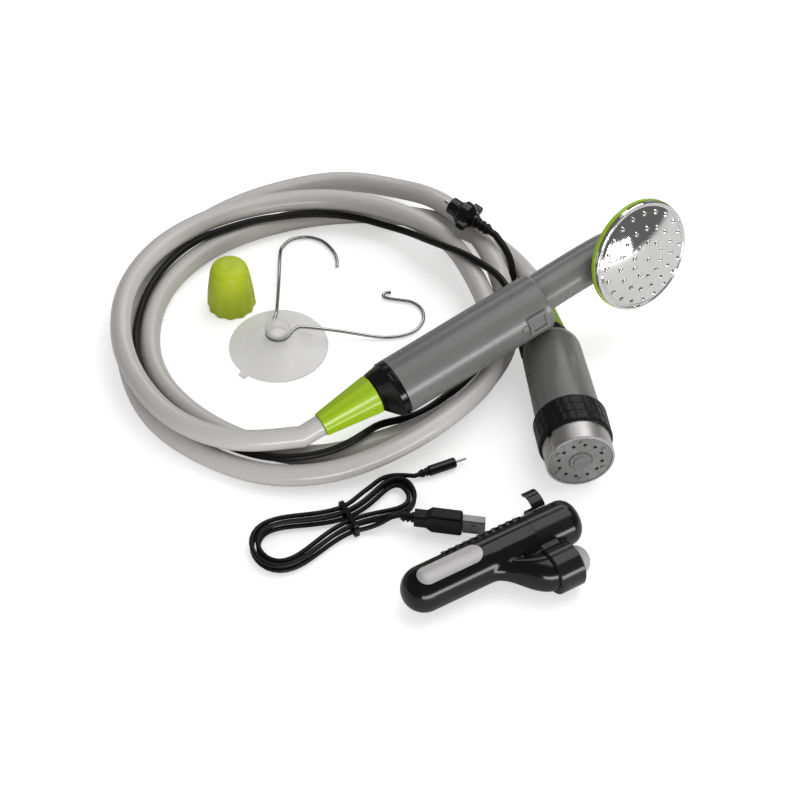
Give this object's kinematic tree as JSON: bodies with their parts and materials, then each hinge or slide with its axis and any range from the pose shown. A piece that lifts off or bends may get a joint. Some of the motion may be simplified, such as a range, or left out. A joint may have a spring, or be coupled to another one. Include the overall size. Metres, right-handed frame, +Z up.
{
  "type": "portable shower",
  "caption": "Battery camping shower: grey handset with round spray head, hose, submersible pump, battery pack, charging cable, suction hanger and spare cap.",
  "frame": {"origin": "on the floor under the middle of the kit, measured without its hose and cords", "axes": "+Z up, +X to the right and +Y away in the pictured lay-out"},
  "size_m": [0.3262, 0.3351, 0.093],
  "materials": {
    "grey_plastic": "satin mid-grey",
    "black_plastic": "semi-gloss black",
    "black_rubber": "matt black",
    "green_plastic": "glossy yellow-green",
    "cap_green": "satin yellow-green",
    "chrome": "polished",
    "steel": "bright",
    "hose_grey": "smooth light grey",
    "clear_plastic": "clear",
    "button_grey": "matt grey",
    "label_silver": "plain silver",
    "white_plastic": "plain",
    "cell_blue": "shrink sleeve",
    "board_green": "plain"
  },
  "bodies": {
    "kit": {"barrel_screw": "steel", "battery_cell": "cell_blue", "button_switch": "steel", "cable_tie": "black_plastic", "connector_body": "black_plastic", "connector_o_ring": "black_rubber", "connector_pin": "steel", "connector_strain_relief": "black_rubber", "control_board": "board_green", "dc_plug_body": "black_plastic", "dc_plug_pin": "steel", "dc_strain_relief": "black_rubber", "flow_diffuser": "white_plastic", "handset_barrel": "grey_plastic", "handset_end_collar": "black_plastic", "handset_hose_barb": "black_plastic", "handset_neck": "grey_plastic", "handset_water_tube": "white_plastic", "hang_clip": "black_plastic", "head_gasket": "black_rubber", "head_trim_ring": "green_plastic", "label_plate": "label_silver", "motor_can": "steel", "pack_body": "black_plastic", "pack_head": "black_plastic", "power_cord": "black_rubber", "power_socket": "black_plastic", "pump_cable_gland": "black_rubber", "pump_chamber_plate": "white_plastic", "pump_housing": "grey_plastic", "pump_outlet_barb": "black_plastic", "pump_top_cap": "black_plastic", "shaft_seal": "black_rubber", "shower_hose": "hose_grey", "spare_cap": "cap_green", "spray_plate": "chrome", "strainer_o_ring": "black_rubber", "suction_cup": "clear_plastic", "usb_cable": "black_rubber", "usb_plug_body": "black_rubber", "usb_plug_shell": "steel", "usb_plug_tongue": "white_plastic", "usb_strain_relief": "black_rubber"},
    "handset_nut": {"handset_hose_nut": "green_plastic"},
    "pump_nut": {"pump_hose_nut": "green_plastic"},
    "strainer": {"strainer_grip_ring": "black_rubber", "strainer_collar": "chrome", "intake_plate": "grey_plastic", "clear_foot_ring": "clear_plastic", "centre_lens": "clear_plastic"},
    "impeller_wheel": {"impeller": "white_plastic"},
    "button": {"power_button": "button_grey"},
    "connector_ring": {"connector_nut": "black_plastic"},
    "hanger": {"hanger_hook": "steel"}
  },
  "joints": [
    {"name": "handset_nut_turn", "type": "hinge", "parent": "kit", "child": "handset_nut", "pos_m": [-0.02901, -0.00288, 0.03015], "axis": [-0.8349, -0.5217, -0.1754], "range_deg": [0, 540]},
    {"name": "pump_nut_turn", "type": "hinge", "parent": "kit", "child": "pump_nut", "pos_m": [0.07263, -0.05229, 0.022], "axis": [-0.139, 0.9893, -0.0436], "range_deg": [0, 540]},
    {"name": "strainer_turn", "type": "hinge", "parent": "kit", "child": "strainer", "pos_m": [0.07263, -0.05229, 0.022], "axis": [0.139, -0.9893, 0.0436], "range_deg": [0, 60]},
    {"name": "impeller_spin", "type": "hinge", "parent": "kit", "child": "impeller_wheel", "pos_m": [0.07263, -0.05229, 0.022], "axis": [-0.139, 0.9893, -0.0436], "continuous": true},
    {"name": "power_button_press", "type": "slide", "parent": "kit", "child": "button", "axis": [-0.8625, -0.506, 0], "range_m": [0, 0.0015], "stiffness_N_per_m": 600, "springref_m": -0.0008},
    {"name": "connector_nut_turn", "type": "hinge", "parent": "kit", "child": "connector_ring", "pos_m": [0.02833, 0.11711, 0.0302], "axis": [0.788, -0.586, -0.189], "range_deg": [0, 60]},
    {"name": "hanger_swivel", "type": "hinge", "parent": "kit", "child": "hanger", "pos_m": [-0.09387, 0.05341, 0], "axis": [0, 0, -1], "range_deg": [0, 60]}
  ]
}
